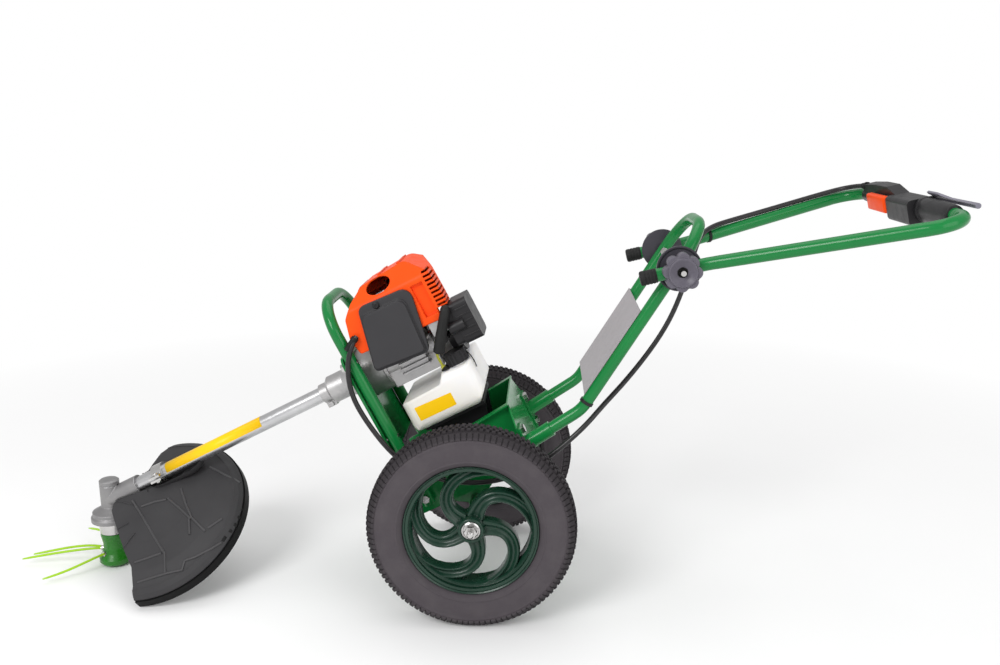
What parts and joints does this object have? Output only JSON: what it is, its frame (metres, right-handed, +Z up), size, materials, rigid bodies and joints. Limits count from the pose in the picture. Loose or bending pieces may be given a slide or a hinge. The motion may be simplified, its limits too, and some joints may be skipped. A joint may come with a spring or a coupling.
{
  "type": "wheeled string trimmer",
  "caption": "Engine string trimmer on a two-wheel frame: drive tube with angled gear head, cord head and guard, tray under the engine, folding handlebar with throttle.",
  "frame": {"origin": "on the ground under the middle of the box around the whole machine", "axes": "+X to the operator, +Y to the operator's right, +Z up"},
  "size_m": [1.5065, 0.4664, 0.6678],
  "materials": {
    "tyre_rubber": "matt black-grey rubber",
    "rim_plastic": "dark green moulded plastic",
    "bright_steel": "zinc plated steel",
    "green_paint": "glossy green paint",
    "grey_sheet": "grey painted sheet",
    "cast_alloy": "cast light alloy",
    "dark_steel": "dark steel",
    "tube_alloy": "drawn light alloy tube",
    "black_plastic": "matt black plastic",
    "grey_plastic": "grey plastic",
    "lilac_plastic": "grey lilac plastic",
    "black_rubber": "soft black rubber",
    "orange_plastic": "orange red plastic",
    "shield_grey": "dark grey paint",
    "guard_plastic": "dark grey plastic",
    "tank_plastic": "milky plastic",
    "head_plastic": "green plastic",
    "line_nylon": "yellow green nylon",
    "fuel_hose": "yellow green hose",
    "muffler_steel": "bare sheet steel"
  },
  "bodies": {
    "frame": {"axle": "bright_steel", "axle_fasteners": "bright_steel", "engine_tray": "green_paint", "axle_brackets": "green_paint", "front_hoop": "green_paint", "hoop_plate": "green_paint", "frame_bolts": "bright_steel", "column_sockets": "green_paint", "column_hoop": "green_paint", "column_plate": "grey_sheet", "pivot_cups": "black_plastic", "pivot_bolts": "bright_steel", "frame_cable_run": "black_rubber", "cable_ties": "black_plastic", "drive_tube": "tube_alloy", "clutch_housing": "cast_alloy", "gear_case": "cast_alloy", "shaft_bearings": "dark_steel", "guard": "guard_plastic", "guard_skirt": "black_rubber", "guard_clamp": "bright_steel", "crankcase": "cast_alloy", "cylinder_block": "cast_alloy", "spark_plug": "black_plastic", "cowl": "orange_plastic", "heat_shield": "shield_grey", "muffler": "muffler_steel", "carburettor": "cast_alloy", "air_filter": "black_plastic", "starter_housing": "black_plastic", "fuel_tank": "tank_plastic", "tank_stand": "black_plastic", "fuel_line": "fuel_hose"},
    "wheel_left": {"tyre_left": "tyre_rubber", "rim_left": "rim_plastic", "bush_left": "bright_steel"},
    "wheel_right": {"tyre_right": "tyre_rubber", "rim_right": "rim_plastic", "bush_right": "bright_steel"},
    "handlebar": {"handlebar_tube": "green_paint", "end_plugs": "black_rubber", "hand_grip": "black_rubber", "throttle_housing": "black_plastic", "bar_cable_run": "black_rubber"},
    "throttle_lever": {"throttle_lever": "lilac_plastic"},
    "stop_switch": {"stop_switch": "orange_plastic"},
    "knob_left": {"knob_left": "grey_plastic"},
    "knob_right": {"knob_right": "grey_plastic"},
    "drive_shaft": {"drive_shaft": "dark_steel", "clutch_drum": "dark_steel", "pinion": "dark_steel"},
    "trimmer_head": {"spindle": "dark_steel", "bevel_gear": "dark_steel", "adaptor_cup": "bright_steel", "trimmer_head": "head_plastic", "line_eyelets": "bright_steel", "line_strands": "line_nylon"},
    "crank": {"crankshaft": "dark_steel"},
    "starter_grip": {"starter_grip": "black_rubber"},
    "fuel_cap": {"fuel_cap": "black_plastic"}
  },
  "joints": [
    {"name": "wheel_left_roll", "type": "hinge", "parent": "frame", "child": "wheel_left", "pos_m": [0.05509, -0.1685, 0.162], "axis": [0, 1, 0], "continuous": true},
    {"name": "wheel_right_roll", "type": "hinge", "parent": "frame", "child": "wheel_right", "pos_m": [0.05509, 0.1685, 0.162], "axis": [0, 1, 0], "continuous": true},
    {"name": "handlebar_fold", "type": "hinge", "parent": "frame", "child": "handlebar", "pos_m": [0.36324, 0, 0.55291], "axis": [0, -1, 0], "range_deg": [-20, 145]},
    {"name": "throttle_squeeze", "type": "hinge", "parent": "handlebar", "child": "throttle_lever", "pos_m": [0.74888, -0.125, 0.65578], "axis": [0, -1, 0], "range_deg": [0, 12], "stiffness_Nm_per_rad": 0.4},
    {"name": "stop_slide", "type": "slide", "parent": "handlebar", "child": "stop_switch", "axis": [0, 1, 0], "range_m": [0, 0.004]},
    {"name": "knob_left_turn", "type": "hinge", "parent": "frame", "child": "knob_left", "pos_m": [0.36324, -0.138, 0.55291], "axis": [0, -1, 0], "range_deg": [0, 720]},
    {"name": "knob_right_turn", "type": "hinge", "parent": "frame", "child": "knob_right", "pos_m": [0.36324, 0.138, 0.55291], "axis": [0, 1, 0], "range_deg": [0, 720]},
    {"name": "drive_spin", "type": "hinge", "parent": "frame", "child": "drive_shaft", "pos_m": [-0.35676, 0, 0.2421], "axis": [0.891, 0, 0.454], "continuous": true},
    {"name": "head_spin", "type": "hinge", "parent": "frame", "child": "trimmer_head", "pos_m": [-0.59288, 0, 0.0618], "axis": [0, 0, 1], "continuous": true},
    {"name": "crank_spin", "type": "hinge", "parent": "frame", "child": "crank", "pos_m": [-0.04491, 0, 0.401], "axis": [0.891, 0, 0.454], "continuous": true},
    {"name": "starter_pull", "type": "slide", "parent": "frame", "child": "starter_grip", "axis": [0, -1, 0], "range_m": [0, 0.5], "stiffness_N_per_m": 12},
    {"name": "fuel_cap_turn", "type": "hinge", "parent": "frame", "child": "fuel_cap", "pos_m": [0.02217, -0.052, 0.40151], "axis": [-0.454, 0, 0.891], "range_deg": [0, 540]}
  ],
  "couplings": [
    {"joint": "head_spin", "follows": "drive_spin", "ratio": 0.78947}
  ]
}
